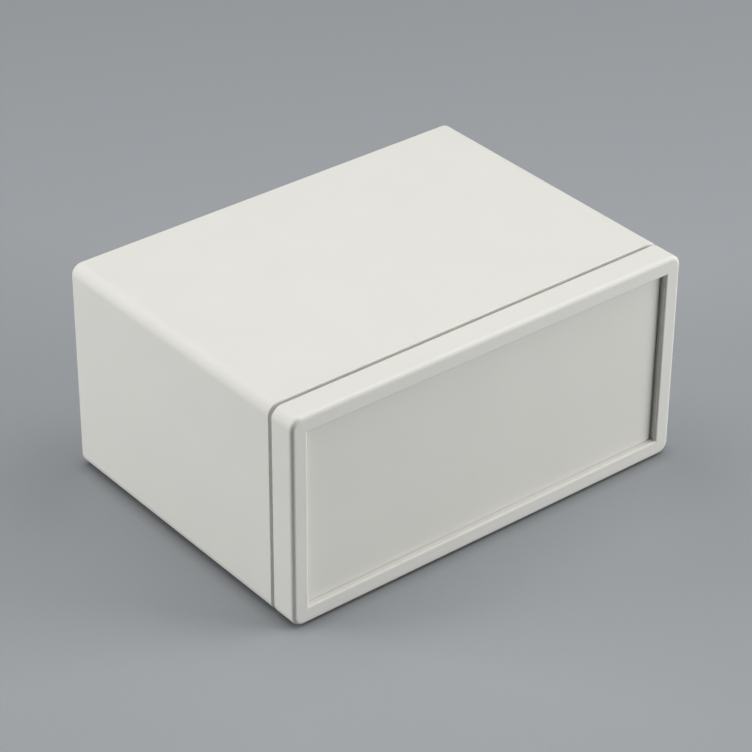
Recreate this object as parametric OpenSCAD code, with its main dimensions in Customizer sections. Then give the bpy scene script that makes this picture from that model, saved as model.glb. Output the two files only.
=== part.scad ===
// Desk-top plastic project box.
// A one-piece sleeve housing, a cored front frame, a push-in front panel and a screwed rear panel.
// The front panel covers the four screws that hold the frame.
// X runs along the front, Y from front to rear, Z up. The origin is the middle of the footprint.

/* [Case] */
// Overall width, along the front
case_w = 150; // [124:1:220]
// Overall depth, from the rim to the rear edge
case_d = 110; // [84:1:200]
// Overall height
case_h = 72.5; // [62:0.5:140]
// Wall of the housing
wall = 2.5; // [2:0.1:3.2]
// Outer radius of the four long edges
long_edge_r = 3.8; // [3.2:0.1:8]
// Rounding of the housing's rear end
rear_edge_r = 1; // [0.4:0.1:1.6]
// Rounding of the two edges beside the shadow gap
gap_edge_r = 0.3; // [0.2:0.05:0.6]

/* [Front frame] */
// Width of the flat rim around the panel
rim_w = 5.7; // [5.4:0.1:8]
// Thickness of the rim, front to back
rim_t = 2.6; // [2.4:0.1:4]
// Rounding of the rim's outer edge
rim_edge_r = 1.4; // [0.8:0.1:2.3]
// Rounding of the rim's inner edge
rim_inner_r = 0.7; // [0.2:0.05:1]
// Depth of the frame's outer band
band_d = 9.4; // [7.6:0.1:14]
// Thickness of the outer band
band_t = 2.2; // [1.6:0.1:2.6]
// Shadow gap between the frame and the housing
shadow_gap = 1.3; // [0.8:0.1:3]
// Thickness of the spigot that enters the housing
spigot_t = 1.8; // [1.4:0.1:2.2]
// How far the spigot enters the housing
spigot_in = 4; // [2.5:0.1:8]
// Width of the ledge that carries the panel
ledge_w = 5; // [4.4:0.1:7]
// Thickness of the ledge
ledge_t = 2.5; // [1.8:0.1:3.2]
// Thickness of the spigot's locating ribs
rib_t = 1.5; // [1:0.1:3]
// Play between the locating ribs and the housing
rib_play = 0.1; // [0.05:0.05:0.3]
// Thickness of the spacers across the shadow gap
spacer_t = 0.6; // [0.4:0.1:2]
// How far the spacers stay below the outer skin
spacer_sink = 0.9; // [0.2:0.1:1.2]

/* [Front panel] */
// Distance from the rim back to the panel's face
recess = 2.1; // [1.5:0.1:3.5]
// Thickness of the front panel
panel_t = 2; // [1.5:0.1:3]
// Gap at the sides and top of the front panel
panel_gap = 0.7; // [0.2:0.05:0.8]
// Gap under the front panel, which sits low in its recess
panel_low_gap = 0.1; // [0.05:0.05:0.8]
// Rounding of the front panel's face edges
panel_edge_r = 0.2; // [0.1:0.05:0.7]
// Radius of the push pegs
peg_r = 1.3; // [1:0.05:1.5]
// Play of a peg in its hole, on the radius
peg_play = 0.06; // [0.03:0.01:0.1]
// How far a peg stands out behind the ledge
peg_out = 1.4; // [0.8:0.1:3]
// Distance between the pegs along a long side
peg_pitch = 80; // [40:1:84]

/* [Rear panel] */
// Thickness of the rear panel
rear_t = 2.5; // [2.2:0.1:4]
// Distance from the housing's rear edge to the panel's face
rear_inset = 1; // [0.3:0.1:4]
// Gap all round the rear panel
rear_gap = 0.3; // [0.1:0.05:0.6]

/* [Screws and inserts] */
// Radius of a screw's plain shank
shank_r = 1.45; // [1.4:0.01:1.5]
// Radius of a screw's core where it bites
core_r = 1.2; // [1.1:0.01:1.23]
// Radius of a screw's head
head_r = 2.75; // [2.5:0.05:2.9]
// Height of a pan head
pan_h = 2; // [1.4:0.1:2.2]
// Radius of a clearance hole
clear_r = 1.7; // [1.55:0.05:1.8]
// Length that bites in an insert
bite = 4.5; // [3:0.1:5.2]
// Thread radius inside a brass insert
thread_r = 1.25; // [1.24:0.01:1.35]
// Outer radius of a brass insert
insert_r = 2.1; // [1.9:0.05:2.4]
// Length of a brass insert
insert_len = 5.6; // [5.3:0.1:8]

/* [Bosses and guides] */
// Distance from the outer faces to a corner boss's axis
boss_inset = 10.5; // [10.2:0.1:12]
// Radius of a corner boss
boss_r = 4.2; // [3.8:0.1:4.6]
// Length of the housing's front bosses
front_boss_len = 14; // [11:0.5:18]
// Length of the housing's rear bosses
rear_boss_len = 14; // [11:0.5:18]
// Thickness of the webs that tie the bosses to the walls
web_t = 1.8; // [1.2:0.1:3]
// Distance from a corner boss to the end of a card guide
guide_end = 2; // [1:0.5:6]
// Height of the board bosses above the floor
board_boss_h = 8; // [7.5:0.5:14]
// Radius of a board boss
board_boss_r = 3.5; // [3.1:0.1:5]
// Distance from the outer sides to the board bosses' axes
board_side = 25; // [23:1:40]
// Distance from the bosses' seats to the board bosses' axes, along the case
board_end = 10.6; // [8:0.1:26]
// Height of the lower card guide's slot above the ground
guide_z = 22; // [19:0.5:26]
// Height between the two card guides on a side
guide_pitch = 24; // [8:1:26]
// Slot of a card guide
guide_slot = 1.8; // [1:0.1:3.4]
// Thickness of a guide rail
guide_t = 1.5; // [1:0.1:2]
// How far a guide rail stands off the wall
guide_reach = 3; // [2:0.1:5]
// Radius of the recesses for stick-on feet
foot_r = 7; // [4:0.1:9]
// Depth of the recesses for stick-on feet
foot_sink = 0.8; // [0.3:0.1:1.2]
// Distance from the outer faces to a foot recess's middle
foot_inset = 16; // [15:0.5:22]

/* [Hidden] */
$fn = 64;

over = 1;            // how far a cut runs past the face it opens
bond = 0.2;          // how far a rib runs into the wall that carries it
press_gap = 0.02;    // between an insert and its pocket
pocket_spare = 1;    // depth of a pocket beyond its insert
neck_w = 0.8;        // neck between an insert's two knurled bands
head_gap = 0.04;     // between a countersunk head and its seat
head_drop = 0.05;    // how far a countersunk head lies below the face
head_play = 0.3;     // round a pan head and above it
pan_rim = 0.6;       // straight part of a pan head's side
cross_w = 3.2;       // cross recess, across its arms
cross_t = 0.9;       // and the width of an arm
cross_depth = 1;
shank_stop = 0.2;    // the plain shank ends this far before the insert
tip_h = 0.6;         // taper at a screw's tip
peg_tip = 0.6;       // taper at a peg's tip
peg_slit = 0.6;      // slit that lets a peg spring
gusset_t = 1.2;      // gussets round a board boss
gusset_reach = 3;
gusset_drop = 2;     // from the boss's top down to its gussets
small_r = 0.6;       // least corner radius of an inside corner
rim_rib_t = 1.2;     // ribs in the hollow behind the rim
rim_rib_drop = 2;    // from the band's rear edge down to those ribs
seat_step = 0.6;     // from the spigot's end to the bosses' seat
window_r = 2;        // corners of the window behind the panel
rear_panel_r = 0.3;  // rounding of the rear panel's face edges

plastic = "#e3e2dc";
panel_plastic = "#d8d6cf";
brass = "#c8a24a";
steel = "#b4b7ba";

// Depths, from the rim's face towards the rear
ledge_z = recess + panel_t;
ledge_back = ledge_z + ledge_t;
housing_z = band_d + shadow_gap;
spigot_end = housing_z + spigot_in;
seat_z = spigot_end + seat_step;              // the frame's bosses meet the housing's here
frame_head_z = ledge_z + pan_h + head_play;   // floor of the frame screws' counterbores
rear_face = case_d - rear_inset;
rear_seat = rear_face - rear_t;               // the rear panel rests on the rear bosses here

// Widths and heights
inner_w = case_w - 2*wall;
inner_h = case_h - 2*wall;
inner_r = max(long_edge_r - wall, small_r);
open_w = case_w - 2*rim_w;
open_h = case_h - 2*rim_w;
spigot_inset = rim_w - spigot_t;
spigot_r = max(long_edge_r - spigot_inset, small_r);
floor_y = -inner_h/2;                         // the inside of the floor, from mid-height
guide_from = seat_z + front_boss_len + guide_end;
guide_to = rear_seat - rear_boss_len - guide_end;

corners = [[-1, -1], [1, -1], [-1, 1], [1, 1]];

// ---- Frames of reference ----

// Puts a piece drawn from the rim's face into the case: x stays, y is up, z is the depth.
module in_case() {
  translate([0, -case_d/2, case_h/2]) mirror([0, 1, 0]) rotate([90, 0, 0]) children();
}

// Draws in the right upper quarter and turns it over to corner i.
module to_corner(i) {
  mirror([corners[i - 1].x < 0 ? 1 : 0, 0, 0]) mirror([0, corners[i - 1].y < 0 ? 1 : 0, 0]) children();
}

// Moves to the axis of corner boss i, with x and y pointing out to the walls.
module at_corner(i) {
  to_corner(i) translate([case_w/2 - boss_inset, case_h/2 - boss_inset, 0]) children();
}

// Moves to the foot of board boss i, with z up.
module at_board_boss(i) {
  z = corners[i - 1].y < 0 ? seat_z + board_end : rear_seat - board_end;
  translate([corners[i - 1].x*(case_w/2 - board_side), floor_y, z]) rotate([-90, 0, 0]) children();
}

// Moves to push peg i, over the middle of the ledge.
module at_peg(i) {
  to_corner(i) translate([peg_pitch/2, open_h/2 - ledge_w/2, ledge_z]) children();
}

// ---- Shapes that repeat ----

module rounded_rect(w, h, r) {
  square([w - 2*r, h], center = true);
  square([w, h - 2*r], center = true);
  for (c = corners) translate([c.x*(w/2 - r), c.y*(h/2 - r)]) circle(r);
}

// Half-section of a bar's end whose edge is rolled over by r, with a straight bit above it.
module rolled(reach, r) {
  square([reach - r, r + bond]);
  translate([0, r]) square([reach, bond]);
  translate([reach - r, r]) intersection() {
    circle(r);
    translate([0, -r]) square(r);
  }
}

// A thin layer whose lower edge is rolled all round, corners included.
module rolled_layer(w, h, corner, r) {
  for (i = [1:4]) to_corner(i)
    translate([w/2 - corner, h/2 - corner, 0]) rotate_extrude(angle = 90) rolled(corner, r);
  for (s = [0, 1]) mirror([s, 0, 0])
    rotate([90, 0, 0]) linear_extrude(h - 2*corner, center = true) rolled(w/2, r);
  for (s = [0, 1]) mirror([0, s, 0])
    rotate([90, 0, 90]) linear_extrude(w - 2*corner, center = true) rolled(h/2, r);
}

// A bar of rounded section, its near end rolled by near_r and its far end by far_r.
module soft_bar(w, h, len, corner, near_r, far_r) {
  rolled_layer(w, h, corner, near_r);
  translate([0, 0, near_r]) linear_extrude(len - near_r - far_r) rounded_rect(w, h, corner);
  translate([0, 0, len]) mirror([0, 0, 1]) rolled_layer(w, h, corner, far_r);
}

// A plate whose face edges are rolled by r.
module soft_plate(w, h, t, corner, r) {
  rolled_layer(w, h, corner, r);
  translate([0, 0, r]) linear_extrude(t - r) rounded_rect(w, h, corner);
}

// Section of a slot w wide that flares out by r at the rim's face.
module flared(w, depth, r) {
  square([w, 2*depth], center = true);
  for (s = [0, 1]) mirror([s, 0]) difference() {
    translate([w/2 - bond, -over]) square([r + bond, over + r]);
    translate([w/2 + r, r]) circle(r);
  }
}

// A rectangular opening with sharp corners and rounded front edges.
module flared_opening(w, h, depth, r) {
  intersection() {
    mirror([0, 1, 0]) rotate([90, 0, 0]) linear_extrude(2*h, center = true) flared(w, depth, r);
    mirror([1, 0, 0]) rotate([90, 0, 90]) linear_extrude(2*w, center = true) flared(h, depth, r);
  }
}

// Two webs that tie a corner boss to the walls beside it, reaching out by reach.
module corner_webs(reach, len) {
  translate([0, -web_t/2, 0]) cube([reach, web_t, len]);
  translate([-web_t/2, 0, 0]) cube([web_t, reach, len]);
}

module cross_recess(depth) {
  for (a = [45, 135]) rotate(a)
    translate([-cross_t/2, -cross_w/2, -over]) cube([cross_t, cross_w, over + depth]);
}

// A knurled brass insert, drawn from its mouth down: two bands with a neck between them.
module insert() {
  band = (insert_len - neck_w)/2;
  difference() {
    union() {
      cylinder(h = insert_len, r = insert_r - neck_w/3);
      cylinder(h = band, r = insert_r);
      translate([0, 0, band + neck_w]) cylinder(h = band, r = insert_r);
    }
    translate([0, 0, -over]) cylinder(h = insert_len + 2*over, r = thread_r);
  }
}

// The pocket that an insert is pressed into.
module insert_pocket() {
  translate([0, 0, -over]) cylinder(h = over + insert_len + pocket_spare, r = insert_r + press_gap);
}

// A screw's shank and core below its head; grip is the thickness it clamps.
module screw_shank(grip) {
  cylinder(h = grip - shank_stop, r = shank_r);
  cylinder(h = grip + bite - tip_h, r = core_r);
  translate([0, 0, grip + bite - tip_h]) cylinder(h = tip_h, r1 = core_r, r2 = core_r - tip_h/2);
}

module pan_screw(grip) {
  dome = pan_h - pan_rim;
  difference() {
    translate([0, 0, -pan_h]) {
      rotate_extrude() rolled(head_r, dome);
      translate([0, 0, dome]) cylinder(h = pan_rim, r = head_r);
    }
    translate([0, 0, -pan_h]) cross_recess(cross_depth);
  }
  screw_shank(grip);
}

module countersunk_screw(grip) {
  top_r = head_r - head_drop - head_gap;
  difference() {
    translate([0, 0, head_drop]) cylinder(h = top_r - shank_r, r1 = top_r, r2 = shank_r);
    translate([0, 0, head_drop]) cross_recess(cross_depth);
  }
  difference() {
    screw_shank(grip);
    translate([0, 0, -over]) cylinder(h = over + head_drop + cross_depth, r = head_r);
  }
}

// ---- Housing ----

module corner_boss(i, z, len) {
  at_corner(i) translate([0, 0, z]) {
    cylinder(h = len, r = boss_r);
    corner_webs(boss_inset - wall + bond, len);
  }
}

// Half-section of the gussets round a board boss.
module gusset() {
  top = board_boss_h - gusset_drop;
  polygon([[0, 0], [board_boss_r + gusset_reach, 0], [board_boss_r - bond, top], [0, top]]);
}

module board_boss(i) {
  at_board_boss(i) {
    translate([0, 0, -bond]) cylinder(h = board_boss_h + bond, r = board_boss_r);
    for (a = [0, 90, 180, 270]) rotate([90, 0, a])
      linear_extrude(gusset_t, center = true) translate([0, -bond]) gusset();
  }
}

// One card guide: a rail above and a rail below the slot, on the side wall.
module card_guide(z) {
  for (s = [0, 1], k = [-1, 1]) mirror([s, 0, 0])
    translate([inner_w/2 - guide_reach, z - case_h/2 + k*(guide_slot + guide_t)/2 - guide_t/2, guide_from])
      cube([guide_reach + bond, guide_t, guide_to - guide_from]);
}

module foot_recess(i) {
  z = corners[i - 1].y < 0 ? housing_z + foot_inset : case_d - foot_inset;
  translate([corners[i - 1].x*(case_w/2 - foot_inset), -case_h/2 - over, z])
    rotate([-90, 0, 0]) cylinder(h = over + foot_sink, r = foot_r);
}

module sleeve() {
  difference() {
    translate([0, 0, housing_z])
      soft_bar(case_w, case_h, case_d - housing_z, long_edge_r, gap_edge_r, rear_edge_r);
    linear_extrude(case_d + over) rounded_rect(inner_w, inner_h, inner_r);
  }
}

module housing() color(plastic) in_case() difference() {
  union() {
    sleeve();
    for (i = [1:4]) {
      corner_boss(i, seat_z, front_boss_len);
      corner_boss(i, rear_seat - rear_boss_len, rear_boss_len);
      board_boss(i);
    }
    for (z = [guide_z, guide_z + guide_pitch]) card_guide(z);
  }
  for (i = [1:4]) {
    at_corner(i) translate([0, 0, seat_z]) insert_pocket();
    at_corner(i) translate([0, 0, rear_seat]) mirror([0, 0, 1]) insert_pocket();
    at_board_boss(i) translate([0, 0, board_boss_h]) mirror([0, 0, 1]) insert_pocket();
    foot_recess(i);
  }
}

// ---- Front frame ----

// The rim and the outer band, cored from behind.
module frame_skin() {
  difference() {
    soft_bar(case_w, case_h, band_d, long_edge_r, rim_edge_r, gap_edge_r);
    translate([0, 0, rim_t]) linear_extrude(band_d)
      rounded_rect(case_w - 2*band_t, case_h - 2*band_t, long_edge_r - band_t);
  }
}

// The inner wall: it lines the opening and runs on as the spigot.
module spigot() {
  translate([0, 0, rim_t - bond]) linear_extrude(spigot_end - rim_t + bond)
    rounded_rect(case_w - 2*spigot_inset, case_h - 2*spigot_inset, spigot_r);
}

// Thin ribs that centre the spigot in the housing.
module locating_ribs() {
  reach = spigot_inset - wall - rib_play;
  z = housing_z + rib_play;
  for (s = [0, 1], k = [-1, 1]) {
    mirror([0, s, 0]) translate([k*case_w/4 - rib_t/2, inner_h/2 - rib_play - reach - bond, z])
      cube([rib_t, reach + bond, spigot_end - z]);
    mirror([s, 0, 0]) translate([inner_w/2 - rib_play - reach - bond, k*case_h/4 - rib_t/2, z])
      cube([reach + bond, rib_t, spigot_end - z]);
  }
}

// Ribs that stiffen the rim, across the hollow between the band and the inner wall.
module rim_ribs() {
  len = band_d - rim_rib_drop - rim_t + bond;
  reach = spigot_inset - band_t + 2*bond;
  for (s = [0, 1], k = [-1, 0, 1]) mirror([0, s, 0])
    translate([k*case_w/4 - rim_rib_t/2, case_h/2 - band_t + bond - reach, rim_t - bond])
      cube([rim_rib_t, reach, len]);
  for (s = [0, 1], k = [-1, 1]) mirror([s, 0, 0])
    translate([case_w/2 - band_t + bond - reach, k*case_h/4 - rim_rib_t/2, rim_t - bond])
      cube([reach, rim_rib_t, len]);
}

// A spacer across the shadow gap, at mid-height of each short side.
module gap_spacers() {
  for (s = [0, 1]) mirror([s, 0, 0])
    translate([case_w/2 - spigot_inset - bond, -spacer_t/2, band_d - bond])
      cube([spigot_inset + bond - spacer_sink, spacer_t, shadow_gap + bond]);
}

module frame_boss(i) {
  at_corner(i) translate([0, 0, ledge_z]) {
    cylinder(h = seat_z - ledge_z, r = boss_r);
    corner_webs(boss_inset - rim_w + bond, spigot_end - ledge_z);
  }
}

module window() {
  rounded_rect(open_w - 2*ledge_w, open_h - 2*ledge_w, window_r);
}

module front_frame() color(plastic) in_case() difference() {
  union() {
    frame_skin();
    difference() {
      spigot();
      translate([0, 0, ledge_back]) linear_extrude(spigot_end) square([open_w, open_h], center = true);
      linear_extrude(spigot_end) window();
    }
    rim_ribs();
    locating_ribs();
    gap_spacers();
    for (i = [1:4]) frame_boss(i);
  }
  flared_opening(open_w, open_h, ledge_z, rim_inner_r);
  for (i = [1:4]) {
    at_corner(i) translate([0, 0, ledge_z - over]) cylinder(h = seat_z, r = clear_r);
    at_corner(i) translate([0, 0, ledge_z - over])
      cylinder(h = over + frame_head_z - ledge_z, r = head_r + head_play);
    at_peg(i) translate([0, 0, -over]) cylinder(h = ledge_t + 2*over, r = peg_r + peg_play);
  }
}

// ---- Front panel ----

module push_peg() {
  len = ledge_t + peg_out;
  difference() {
    union() {
      translate([0, 0, -bond]) cylinder(h = len - peg_tip + bond, r = peg_r);
      translate([0, 0, len - peg_tip]) cylinder(h = peg_tip, r1 = peg_r, r2 = peg_r - peg_tip/2);
    }
    translate([-peg_slit/2, -peg_r - over, peg_tip]) cube([peg_slit, 2*peg_r + 2*over, len]);
  }
}

module front_panel() color(panel_plastic) in_case() {
  translate([0, (panel_low_gap - panel_gap)/2, recess])
    soft_plate(open_w - 2*panel_gap, open_h - panel_gap - panel_low_gap, panel_t,
      2*panel_edge_r, panel_edge_r);
  for (i = [1:4]) at_peg(i) push_peg();
}

// ---- Rear panel ----

module countersink() {
  depth = head_r - clear_r;
  translate([0, 0, -over]) cylinder(h = over + depth, r1 = head_r + over, r2 = clear_r);
  cylinder(h = rear_t + over, r = clear_r);
}

module rear_panel() color(panel_plastic) in_case() translate([0, 0, rear_face]) mirror([0, 0, 1])
  difference() {
    soft_plate(inner_w - 2*rear_gap, inner_h - 2*rear_gap, rear_t,
      max(inner_r - rear_gap, 2*rear_panel_r), rear_panel_r);
    for (i = [1:4]) at_corner(i) countersink();
  }

// ---- Screws and inserts ----

module frame_screw(i) color(steel) in_case()
  at_corner(i) translate([0, 0, frame_head_z]) pan_screw(seat_z - frame_head_z);

module rear_screw(i) color(steel) in_case()
  at_corner(i) translate([0, 0, rear_face]) mirror([0, 0, 1]) countersunk_screw(rear_t);

module frame_insert(i) color(brass) in_case()
  at_corner(i) translate([0, 0, seat_z]) insert();

module rear_insert(i) color(brass) in_case()
  at_corner(i) translate([0, 0, rear_seat]) mirror([0, 0, 1]) insert();

module board_insert(i) color(brass) in_case()
  at_board_boss(i) translate([0, 0, board_boss_h]) mirror([0, 0, 1]) insert();

housing();
front_frame();
front_panel();
rear_panel();
for (i = [1:4]) {
  frame_screw(i);
  frame_insert(i);
  rear_screw(i);
  rear_insert(i);
  board_insert(i);
}
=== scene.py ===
# Looks for a plastic project box: finishes, detailed fasteners, studio light and camera.
import math

import bmesh
import bpy
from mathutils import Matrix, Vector


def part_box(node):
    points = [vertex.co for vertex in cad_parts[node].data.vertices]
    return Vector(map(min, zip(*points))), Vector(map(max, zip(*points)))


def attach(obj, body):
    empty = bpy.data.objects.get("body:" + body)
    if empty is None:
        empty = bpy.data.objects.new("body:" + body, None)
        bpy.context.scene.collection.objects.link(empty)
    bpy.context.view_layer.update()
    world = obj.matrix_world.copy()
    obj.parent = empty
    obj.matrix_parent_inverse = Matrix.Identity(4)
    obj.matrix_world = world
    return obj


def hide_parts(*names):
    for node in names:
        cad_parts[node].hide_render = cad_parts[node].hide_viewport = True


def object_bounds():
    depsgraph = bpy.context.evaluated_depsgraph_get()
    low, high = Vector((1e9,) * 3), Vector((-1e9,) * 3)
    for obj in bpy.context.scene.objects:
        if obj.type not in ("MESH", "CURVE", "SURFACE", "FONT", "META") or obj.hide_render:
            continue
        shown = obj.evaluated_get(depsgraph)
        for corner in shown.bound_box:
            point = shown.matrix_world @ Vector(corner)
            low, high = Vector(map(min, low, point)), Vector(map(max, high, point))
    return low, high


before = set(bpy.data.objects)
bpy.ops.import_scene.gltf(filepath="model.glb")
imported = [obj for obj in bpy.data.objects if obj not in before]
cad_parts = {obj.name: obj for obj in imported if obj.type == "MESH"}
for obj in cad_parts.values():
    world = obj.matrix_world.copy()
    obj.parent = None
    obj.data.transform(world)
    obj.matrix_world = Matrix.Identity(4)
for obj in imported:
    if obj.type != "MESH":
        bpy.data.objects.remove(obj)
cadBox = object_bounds()
mm = 0.001
print("stage: frame loaded")


# Small helpers for node trees. A value is either a plain value or another node's output.
def feed(tree, socket, value):
    if isinstance(value, bpy.types.NodeSocket):
        tree.links.new(value, socket)
    else:
        socket.default_value = value


def addNode(tree, kind, inputs=None, **settings):
    made = tree.nodes.new(kind)
    for name, value in settings.items():
        setattr(made, name, value)
    for name, value in (inputs or {}).items():
        feed(tree, made.inputs[name], value)
    return made


def startGroup(name, inputs, outputs):
    tree = bpy.data.node_groups.new(name, "ShaderNodeTree")
    for socketName, kind, value in inputs:
        socket = tree.interface.new_socket(socketName, in_out="INPUT", socket_type=kind)
        if value is not None:
            socket.default_value = value
    for socketName, kind in outputs:
        tree.interface.new_socket(socketName, in_out="OUTPUT", socket_type=kind)
    entry = addNode(tree, "NodeGroupInput")
    leave = addNode(tree, "NodeGroupOutput")
    return tree, entry.outputs, leave.inputs


def useGroup(tree, group, inputs):
    return addNode(tree, "ShaderNodeGroup", inputs, node_tree=group).outputs


def mathNode(tree, operation, first, second=0.0):
    made = addNode(tree, "ShaderNodeMath", operation=operation)
    for socket, value in zip(made.inputs, (first, second)):
        feed(tree, socket, value)
    return made.outputs[0]


def plain(colour):
    return (*colour, 1)  # a colour socket also takes an alpha


def mixColours(tree, share, first, second):
    made = addNode(tree, "ShaderNodeMix", {"Factor": share}, data_type="RGBA")
    for socket, colour in zip([x for x in made.inputs if x.type == "RGBA"], (first, second)):
        feed(tree, socket, colour)
    return [x for x in made.outputs if x.type == "RGBA"][0]


# A slow change of shade round one colour, as far as `tint` to each side.
def tintColours(tree, share, colour, tint):
    darker, paler = [plain([c * (1 + side * tint) for c in colour]) for side in (-1, 1)]
    return mixColours(tree, share, darker, paler)


def newMaterial(name):
    material = bpy.data.materials.new(name)
    material.use_nodes = True
    tree = material.node_tree
    place = addNode(tree, "ShaderNodeTexCoord").outputs["Object"]
    return material, tree, tree.nodes["Principled BSDF"], place


# Shared effects, each a node group.
def makeMouldGrain():
    tree, entry, leave = startGroup(
        "mouldGrain",
        [("Place", "NodeSocketVector", None), ("Grain size", "NodeSocketFloat", 0.3),
         ("Ripple size", "NodeSocketFloat", 20.0), ("Ripple share", "NodeSocketFloat", 0.5)],
        [("Height", "NodeSocketFloat"), ("Grain", "NodeSocketFloat"), ("Ripple", "NodeSocketFloat")])
    perMetre = 1 / mm
    grainScale = mathNode(tree, "DIVIDE", perMetre, entry["Grain size"])
    rippleScale = mathNode(tree, "DIVIDE", perMetre, entry["Ripple size"])
    grain = addNode(tree, "ShaderNodeTexNoise",
                    {"Vector": entry["Place"], "Scale": grainScale, "Detail": 2.0, "Roughness": 0.6})
    ripple = addNode(tree, "ShaderNodeTexNoise",
                     {"Vector": entry["Place"], "Scale": rippleScale, "Detail": 1.0, "Roughness": 0.4})
    rippleHeight = mathNode(tree, "MULTIPLY", ripple.outputs["Fac"], entry["Ripple share"])
    tree.links.new(mathNode(tree, "ADD", grain.outputs["Fac"], rippleHeight), leave["Height"])
    tree.links.new(grain.outputs["Fac"], leave["Grain"])
    tree.links.new(ripple.outputs["Fac"], leave["Ripple"])
    return tree


def makeEdgeMask():
    tree, entry, leave = startGroup(
        "edgeMask", [("Width", "NodeSocketFloat", 0.5), ("Gain", "NodeSocketFloat", 6.0)],
        [("Edge", "NodeSocketFloat")])
    width = mathNode(tree, "MULTIPLY", entry["Width"], mm)
    rounded = addNode(tree, "ShaderNodeBevel", {"Radius": width}, samples=4)
    facing = addNode(tree, "ShaderNodeNewGeometry").outputs["Normal"]
    match = addNode(tree, "ShaderNodeVectorMath", operation="DOT_PRODUCT")
    tree.links.new(rounded.outputs["Normal"], match.inputs[0])
    tree.links.new(facing, match.inputs[1])
    bend = mathNode(tree, "SUBTRACT", 1.0, match.outputs["Value"])
    strong = mathNode(tree, "MULTIPLY", bend, entry["Gain"])
    tree.links.new(mathNode(tree, "MINIMUM", strong, 1.0), leave["Edge"])
    return tree


mouldGrain = makeMouldGrain()
edgeMask = makeEdgeMask()

casePlastic = {
    "colour": (0.778, 0.768, 0.721),
    "tint": 0.024,
    "roughness": 0.40,
    "grainGloss": 0.10,    # change of roughness from grain to grain
    "grainSize": 0.32,     # mm, fine spark texture of the mould
    "grainDepth": 0.004,   # mm
    "rippleSize": 18.0,    # mm, slow unevenness of a moulded wall
    "rippleDepth": 0.010,  # mm
    "rippleShade": 0.7,    # share of the tint that follows the ripple, the rest follows the grain
    "edgeWidth": 0.6,      # mm, handled edges shine a little more
    "edgeGain": 5.0,
    "edgeGloss": 0.06,
}
panelPlastic = dict(casePlastic, colour=(0.766, 0.754, 0.706), roughness=0.44, grainSize=0.22)


def startFinish(name, look):
    material, tree, shader, place = newMaterial(name)
    grain = useGroup(tree, mouldGrain, {
        "Place": place, "Grain size": look["grainSize"], "Ripple size": look["rippleSize"],
        "Ripple share": look["rippleDepth"] / look["grainDepth"]})
    edge = useGroup(tree, edgeMask, {"Width": look["edgeWidth"], "Gain": look["edgeGain"]})["Edge"]
    bump = addNode(tree, "ShaderNodeBump",
                   {"Height": grain["Height"], "Distance": look["grainDepth"] * mm, "Strength": 1.0})
    tree.links.new(bump.outputs["Normal"], shader.inputs["Normal"])
    return material, tree, shader, grain, edge


def plasticMaterial(name, look):
    material, tree, shader, grain, edge = startFinish(name, look)
    slow = mathNode(tree, "MULTIPLY", grain["Ripple"], look["rippleShade"])
    fine = mathNode(tree, "MULTIPLY", grain["Grain"], 1 - look["rippleShade"])
    shades = tintColours(tree, mathNode(tree, "ADD", slow, fine), look["colour"], look["tint"])
    tree.links.new(shades, shader.inputs["Base Color"])
    rough = mathNode(tree, "MULTIPLY", grain["Grain"], look["grainGloss"])
    level = mathNode(tree, "ADD", rough, look["roughness"] - look["grainGloss"] / 2)
    worn = mathNode(tree, "MULTIPLY", edge, look["edgeGloss"])
    tree.links.new(mathNode(tree, "SUBTRACT", level, worn), shader.inputs["Roughness"])
    return material


def dress(nodeName, material):
    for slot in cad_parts[nodeName].material_slots:
        slot.material = material


caseFinish = plasticMaterial("casePlastic", casePlastic)
panelFinish = plasticMaterial("panelPlastic", panelPlastic)
for nodeName in ("housing", "front_frame"):
    dress(nodeName, caseFinish)
for nodeName in ("front_panel", "rear_panel"):
    dress(nodeName, panelFinish)
print("stage: plastics finished")

# Metals of the fasteners.
zincSteel = {
    "dark": (0.50, 0.51, 0.53), "pale": (0.66, 0.67, 0.68), "roughness": 0.27, "grainGloss": 0.12,
    "grainSize": 0.09, "rippleSize": 1.6, "grainDepth": 0.0012, "rippleDepth": 0.002,  # mm
    "edgeWidth": 0.08, "edgeGain": 8.0, "edgePale": 0.9,
}
turnedBrass = dict(zincSteel, dark=(0.62, 0.43, 0.17), pale=(0.80, 0.60, 0.28), roughness=0.31,
                   grainSize=0.07, rippleSize=1.2)


def metalMaterial(name, look):
    material, tree, shader, grain, edge = startFinish(name, look)
    tone = mathNode(tree, "MAXIMUM", grain["Ripple"], mathNode(tree, "MULTIPLY", edge, look["edgePale"]))
    shades = mixColours(tree, tone, plain(look["dark"]), plain(look["pale"]))
    tree.links.new(shades, shader.inputs["Base Color"])
    shader.inputs["Metallic"].default_value = 1.0
    rough = mathNode(tree, "MULTIPLY", grain["Grain"], look["grainGloss"])
    tree.links.new(mathNode(tree, "ADD", rough, look["roughness"]), shader.inputs["Roughness"])
    return material


steelFinish = metalMaterial("zincSteel", zincSteel)
brassFinish = metalMaterial("turnedBrass", turnedBrass)
print("stage: metals finished")


# Modelling helpers: everything is picked by place or normal.
def startEditing(piece, kind="FACE"):
    bpy.ops.object.select_all(action="DESELECT")
    piece.select_set(True)
    bpy.context.view_layer.objects.active = piece
    bpy.ops.object.mode_set(mode="EDIT")
    bpy.ops.mesh.select_mode(type=kind)
    bpy.ops.mesh.select_all(action="DESELECT")


def stopEditing():
    bpy.ops.object.mode_set(mode="OBJECT")


def pickFaces(piece, test):
    shape = bmesh.from_edit_mesh(piece.data)
    for face in shape.faces:
        face.select_set(test(face.calc_center_median(), face.normal))
    bmesh.update_edit_mesh(piece.data)


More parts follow.
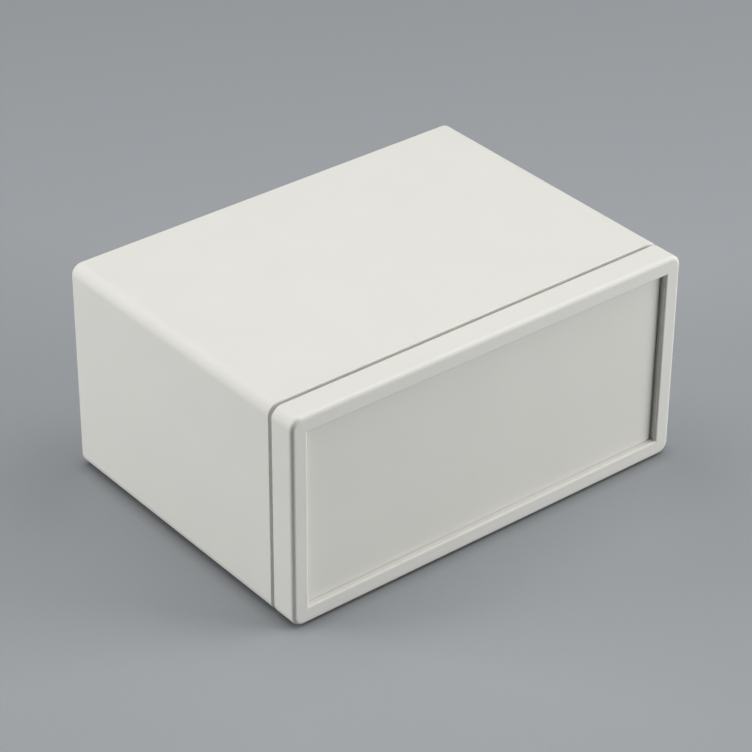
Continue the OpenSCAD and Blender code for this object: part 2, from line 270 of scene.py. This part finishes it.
def pickEdges(piece, test):
    shape = bmesh.from_edit_mesh(piece.data)
    for edge in shape.edges:
        edge.select_set(test(edge.verts[0].co, edge.verts[1].co))
    bmesh.update_edit_mesh(piece.data)


def applyModifier(piece, kind, **settings):
    made = piece.modifiers.new(kind.lower(), kind)
    for name, value in settings.items():
        setattr(made, name, value)
    bpy.context.view_layer.objects.active = piece
    bpy.ops.object.modifier_apply(modifier=made.name)


def combine(piece, other, operation):
    applyModifier(piece, "BOOLEAN", operation=operation, object=other, solver="EXACT")
    bpy.data.objects.remove(other)


def addCylinder(radius, low, high, sides=48):
    bpy.ops.object.select_all(action="DESELECT")
    bpy.ops.mesh.primitive_cylinder_add(
        vertices=sides, radius=radius, depth=high - low, location=(0, 0, (low + high) / 2))
    bpy.ops.object.transform_apply()
    return bpy.context.object


def addCone(lowRadius, highRadius, low, high, sides=48):
    bpy.ops.object.select_all(action="DESELECT")
    bpy.ops.mesh.primitive_cone_add(
        vertices=sides, radius1=lowRadius, radius2=highRadius, depth=high - low,
        location=(0, 0, (low + high) / 2))
    bpy.ops.object.transform_apply()
    return bpy.context.object


thread = {"pitch": 0.5 * mm, "ridge": 0.2 * mm, "steps": 20}


# A closed rod along Z with a right-handed thread.
# Its ridge passes angle 0 at every whole pitch from `phase`.
def addThreadedRod(core, crest, low, high, phase):
    pitch = thread["pitch"]
    start = phase - pitch * (math.ceil((phase - low) / pitch) + 1)
    turns = math.ceil((high - start) / pitch) + 1
    bpy.ops.object.select_all(action="DESELECT")
    bpy.ops.mesh.primitive_plane_add(size=crest, location=(core, 0, start))
    rod = bpy.context.object
    bpy.ops.object.transform_apply()
    startEditing(rod, "VERT")
    bpy.ops.mesh.select_all(action="SELECT")
    bpy.ops.mesh.merge(type="CENTER")
    rise = thread["ridge"]
    for out, up in ((0, pitch - 2 * rise), (crest - core, 0.75 * rise),
                    (0, 0.5 * rise), (core - crest, 0.75 * rise)):
        bpy.ops.mesh.extrude_vertices_move(TRANSFORM_OT_translate={"value": (out, 0, up)})
    stopEditing()
    applyModifier(rod, "SCREW", axis="Z", angle=2 * math.pi, screw_offset=pitch, iterations=turns,
                  steps=thread["steps"], render_steps=thread["steps"])
    startEditing(rod, "EDGE")
    bpy.ops.mesh.select_all(action="SELECT")
    bpy.ops.mesh.remove_doubles(threshold=0.002 * mm)
    for height, side in ((low, -1), (high, 1)):
        bpy.ops.mesh.select_all(action="SELECT")
        bpy.ops.mesh.bisect(plane_co=(0, 0, height), plane_no=(0, 0, side),
                            use_fill=True, clear_outer=True, threshold=0.0001 * mm)
    bpy.ops.mesh.select_all(action="SELECT")
    bpy.ops.mesh.normals_make_consistent(inside=False)
    stopEditing()
    return rod


crossRecess = {
    "reach": 1.5 * mm, "width": 0.72 * mm, "depth": 1.2 * mm, "taper": (0.42, 0.62, 1),
    "past": 0.05 * mm,  # how far the cutter stands out of the head
}


def cutCross(screw, top):
    for turn in (0, math.pi / 2):
        bpy.ops.object.select_all(action="DESELECT")
        bpy.ops.mesh.primitive_cube_add(size=1, location=(0, 0, top - crossRecess["depth"] / 2))
        bar = bpy.context.object
        bar.scale = (2 * crossRecess["reach"], crossRecess["width"], crossRecess["depth"])
        bpy.ops.object.transform_apply()
        startEditing(bar)
        pickFaces(bar, lambda middle, normal: normal.z < -0.9)
        bpy.ops.transform.resize(value=crossRecess["taper"])
        pickFaces(bar, lambda middle, normal: normal.z > 0.9)
        bpy.ops.transform.translate(value=(0, 0, crossRecess["past"]))
        stopEditing()
        bar.rotation_euler.z = turn
        bpy.ops.object.transform_apply()
        combine(screw, bar, "DIFFERENCE")


smoothAngle = 32  # degrees, flatter edges are shaded round


def finishMetal(piece, name):
    bpy.ops.object.select_all(action="DESELECT")
    piece.select_set(True)
    bpy.context.view_layer.objects.active = piece
    bpy.ops.object.shade_smooth_by_angle(angle=math.radians(smoothAngle))
    piece.name = name
    return piece


panHead = {
    "height": 2.0 * mm, "dome": 1.25 * mm, "crest": 1.45 * mm, "core": 1.2 * mm,
    "lap": 0.3 * mm,  # how far the rod reaches into the head
}


# The pan-head screw of the front frame: head top at Z 0, tip down.
def makePanScrew(headRadius, length, grip):
    head = addCylinder(headRadius, -panHead["height"], 0, 64)
    startEditing(head, "EDGE")
    pickEdges(head, lambda a, b: min(a.z, b.z) > -0.1 * mm)  # the top rim
    bpy.ops.mesh.bevel(offset=panHead["dome"], segments=7, profile=0.5)
    stopEditing()
    cutCross(head, 0)
    rod = addThreadedRod(panHead["core"], panHead["crest"],
                         -length, panHead["lap"] - panHead["height"], -grip)
    combine(head, rod, "UNION")
    return finishMetal(head, "panScrewMaster")


countersunkHead = {"rim": 0.12 * mm, "crest": 1.45 * mm, "core": 1.2 * mm, "lap": 0.2 * mm}


# The countersunk screw of the rear panel: flat head top at Z 0, tip down.
def makeCountersunkScrew(headRadius, length, grip):
    neck = countersunkHead["crest"]
    head = addCone(neck, headRadius, neck - headRadius, 0, 64)
    startEditing(head, "EDGE")
    pickEdges(head, lambda a, b: min(a.z, b.z) > -0.01 * mm)  # the top rim
    bpy.ops.mesh.bevel(offset=countersunkHead["rim"], segments=3, profile=0.5)
    stopEditing()
    cutCross(head, 0)
    rod = addThreadedRod(countersunkHead["core"], countersunkHead["crest"],
                         -length, neck - headRadius + countersunkHead["lap"], -grip)
    combine(head, rod, "UNION")
    return finishMetal(head, "countersunkScrewMaster")


insertLook = {
    "teeth": 30, "toothRoot": 0.93, "mouth": 0.96,  # shares of the radius
    "core": 1.25 * mm, "crest": 1.5 * mm, "lead": 0.35 * mm,
    "rings": [  # share of the length, share of the radius, turn in degrees
        (0.02, 1.00, 0), (0.12, 1.00, 0), (0.14, 0.92, 0), (0.18, 0.92, 0),
        (0.19, 1.00, 0), (0.45, 1.00, 12), (0.46, 0.90, 0), (0.56, 0.90, 0),
        (0.57, 1.00, 0), (0.83, 1.00, -12), (0.84, 0.92, 0), (0.97, 0.92, 0), (1.00, 0.87, 0)],
    "knurled": (0.19, 0.45, 0.57, 0.83),
}


# A knurled brass insert for heat setting: mouth at Z 0, body down.
def makeInsert(radius, length):
    teeth, rings, mouth = insertLook["teeth"], insertLook["rings"], insertLook["mouth"]
    bpy.ops.object.select_all(action="DESELECT")
    bpy.ops.mesh.primitive_circle_add(vertices=2 * teeth, radius=mouth * radius, fill_type="NGON")
    body = bpy.context.object
    startEditing(body)
    bpy.ops.mesh.select_all(action="SELECT")
    depth, width, turned = 0, mouth, 0
    turns = {}
    for share, target, turn in rings:
        down = (0, 0, (depth - share) * length)
        bpy.ops.mesh.extrude_region_move(TRANSFORM_OT_translate={"value": down})
        bpy.ops.transform.resize(value=(target / width, target / width, 1), center_override=(0, 0, 0))
        if turn:
            bpy.ops.transform.rotate(
                value=math.radians(turn), orient_axis="Z", center_override=(0, 0, 0))
        depth, width, turned = share, target, turned - turn
        turns[share] = turned
    bpy.ops.mesh.select_all(action="SELECT")
    bpy.ops.mesh.normals_make_consistent(inside=False)
    stopEditing()
    startEditing(body, "VERT")
    shape = bmesh.from_edit_mesh(body.data)
    step = math.pi / teeth
    for share in insertLook["knurled"]:
        for corner in shape.verts:
            angle = math.atan2(corner.co.y, corner.co.x) - math.radians(turns[share])
            if abs(corner.co.z + share * length) < 0.001 * length and round(angle / step) % 2:
                corner.select_set(True)
    bmesh.update_edit_mesh(body.data)
    root = insertLook["toothRoot"]
    bpy.ops.transform.resize(value=(root, root, 1), center_override=(0, 0, 0))
    stopEditing()
    core, crest, lead = insertLook["core"], insertLook["crest"], insertLook["lead"]
    combine(body, addThreadedRod(core, crest, -2 * length, length, 0), "DIFFERENCE")
    combine(body, addCone(core, core + 2 * lead, -lead, lead), "DIFFERENCE")
    return finishMetal(body, "insertMaster")


# Copies a master to a fastener's place, with its mouth or head top facing `outward`.
def seatCopy(master, name, node, outward, finish):
    low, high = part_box(node)
    outward = Vector(outward)
    top = (low + high) / 2 + outward * abs(outward.dot(high - low)) / 2
    bpy.ops.object.select_all(action="DESELECT")
    master.select_set(True)
    bpy.context.view_layer.objects.active = master
    bpy.ops.object.duplicate(linked=False)
    piece = bpy.context.object
    piece.name = name
    piece.location = top
    piece.rotation_euler = outward.to_track_quat("Z", "Y").to_euler()
    bpy.ops.object.transform_apply()
    piece.data.materials.append(finish)
    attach(piece, "case")
    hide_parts(node)


def makeFasteners():
    front, rear, up = (0, -1, 0), (0, 1, 0), (0, 0, 1)
    low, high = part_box("frame_screw_1")
    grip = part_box("frame_insert_1")[0].y - low.y
    panScrew = makePanScrew((high.x - low.x) / 2, high.y - low.y, grip)
    low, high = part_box("rear_screw_1")
    grip = high.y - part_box("rear_insert_1")[1].y
    flatScrew = makeCountersunkScrew((high.x - low.x) / 2, high.y - low.y, grip)
    low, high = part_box("board_insert_1")
    insert = makeInsert((high.x - low.x) / 2, high.z - low.z)
    for i in range(1, 5):
        seatCopy(panScrew, f"frameScrew{i}", f"frame_screw_{i}", front, steelFinish)
        seatCopy(flatScrew, f"rearScrew{i}", f"rear_screw_{i}", rear, steelFinish)
        seatCopy(insert, f"frameInsert{i}", f"frame_insert_{i}", front, brassFinish)
        seatCopy(insert, f"rearInsert{i}", f"rear_insert_{i}", rear, brassFinish)
        seatCopy(insert, f"boardInsert{i}", f"board_insert_{i}", up, brassFinish)
    for master in (panScrew, flatScrew, insert):
        bpy.data.objects.remove(master)


makeFasteners()
print("stage: fasteners modelled")

# Floor, lights and camera.
floorLook = {
    "colour": (0.337, 0.354, 0.373), "tint": 0.015, "patchScale": 3.0, "roughness": 0.62,
    "size": 8.0, "drop": 0.5 * mm,
    "paintedShadowReach": 5 * mm, "paintedShadowShare": 0.5,  # painted contact shadow: the floor colour is darkened close beside the box
}


def makeFloor(look):
    bpy.ops.object.select_all(action="DESELECT")
    bpy.ops.mesh.primitive_plane_add(size=look["size"], location=(0, 0, -look["drop"]))
    floor = bpy.context.object
    floor.name = "floor"
    material, tree, shader, place = newMaterial("floorPaint")
    patches = addNode(tree, "ShaderNodeTexNoise",
                      {"Vector": place, "Scale": look["patchScale"], "Detail": 2.0})
    shades = tintColours(tree, patches.outputs["Fac"], look["colour"], look["tint"])
    # Painted shadow: ambient occlusion darkens the floor's colour close beside the box, standing in for
    # its contact shadow.
    paintedContactShadow = addNode(tree, "ShaderNodeAmbientOcclusion",
                      {"Color": shades, "Distance": look["paintedShadowReach"]})
    floorWithPaintedShadow = mixColours(tree, look["paintedShadowShare"], shades, paintedContactShadow.outputs["Color"])
    tree.links.new(floorWithPaintedShadow, shader.inputs["Base Color"])
    shader.inputs["Roughness"].default_value = look["roughness"]
    floor.data.materials.append(material)


# Soft lamps round the box. Angles are in degrees and lengths in metres.
studio = {
    "cameraSide": -38.464,
    "leastGlossyRise": 30,  # lower lamps give no glare
    "lamps": {  # turn from the camera's side, rise above the floor, distance, size, watts
        "right": (90, 12, 1.5, 0.9, 21.2), "rightHigh": (90, 60, 1.0, 0.6, 2.45),
        "left": (270, 12, 1.5, 0.9, 19.5), "leftHigh": (270, 60, 1.0, 0.6, 0.90),
        "behindRight": (135, 12, 1.5, 0.9, 1.64), "behindRightHigh": (135, 60, 1.0, 0.6, 1.21),
        "behindLeftHigh": (225, 60, 1.0, 0.6, 1.22),
        "above": (0, 88, 0.62, 0.36, 0.485), "aboveFront": (315, 75, 0.62, 0.36, 0.52),
    },
}


def makeLamps(look):
    middle = (cadBox[0] + cadBox[1]) / 2
    for name, (turn, rise, distance, size, watts) in look["lamps"].items():
        across, up = math.radians(turn + look["cameraSide"]), math.radians(rise)
        ray = Vector((math.sin(across) * math.cos(up), -math.cos(across) * math.cos(up), math.sin(up)))
        lamp = bpy.data.lights.new(name, "AREA")
        lamp.shape = "SQUARE"
        lamp.size = size
        lamp.energy = watts
        holder = bpy.data.objects.new(name, lamp)
        bpy.context.collection.objects.link(holder)
        holder.location = middle + ray * distance
        holder.rotation_euler = ray.to_track_quat("Z", "Y").to_euler()
        holder.visible_camera = False
        holder.visible_glossy = rise > look["leastGlossyRise"]


worldLight = {
    "colour": (0.9, 0.95, 1.0), "strength": 0.005,
    "seen": (0.335, 0.352, 0.372),  # what the camera sees beyond the floor
}


def makeWorld(look):
    world = bpy.data.worlds.new("studio")
    bpy.context.scene.world = world
    world.use_nodes = True
    tree = world.node_tree
    tree.nodes.clear()
    dim = addNode(tree, "ShaderNodeBackground",
                  {"Color": plain(look["colour"]), "Strength": look["strength"]})
    seen = addNode(tree, "ShaderNodeBackground", {"Color": plain(look["seen"]), "Strength": 1.0})
    path = addNode(tree, "ShaderNodeLightPath")
    pick = addNode(tree, "ShaderNodeMixShader", {"Fac": path.outputs["Is Camera Ray"]})
    tree.links.new(dim.outputs[0], pick.inputs[1])
    tree.links.new(seen.outputs[0], pick.inputs[2])
    leave = addNode(tree, "ShaderNodeOutputWorld")
    tree.links.new(pick.outputs[0], leave.inputs["Surface"])


cameraLook = {
    "lens": 138.03, "sensor": 36, "nearest": 0.01,
    "place": (-0.47661, -0.58744, 0.51637), "angles": (57.278, -0.324, -38.834),
}


def makeCamera(look):
    data = bpy.data.cameras.new("camera")
    data.lens = look["lens"]
    data.sensor_width = look["sensor"]
    data.clip_start = look["nearest"]
    camera = bpy.data.objects.new("camera", data)
    bpy.context.collection.objects.link(camera)
    camera.location = look["place"]
    camera.rotation_euler = [math.radians(angle) for angle in look["angles"]]
    bpy.context.scene.camera = camera


makeFloor(floorLook)
makeLamps(studio)
makeWorld(worldLight)
makeCamera(cameraLook)
bpy.context.scene.view_settings.view_transform = "Standard"
print("stage: studio ready")
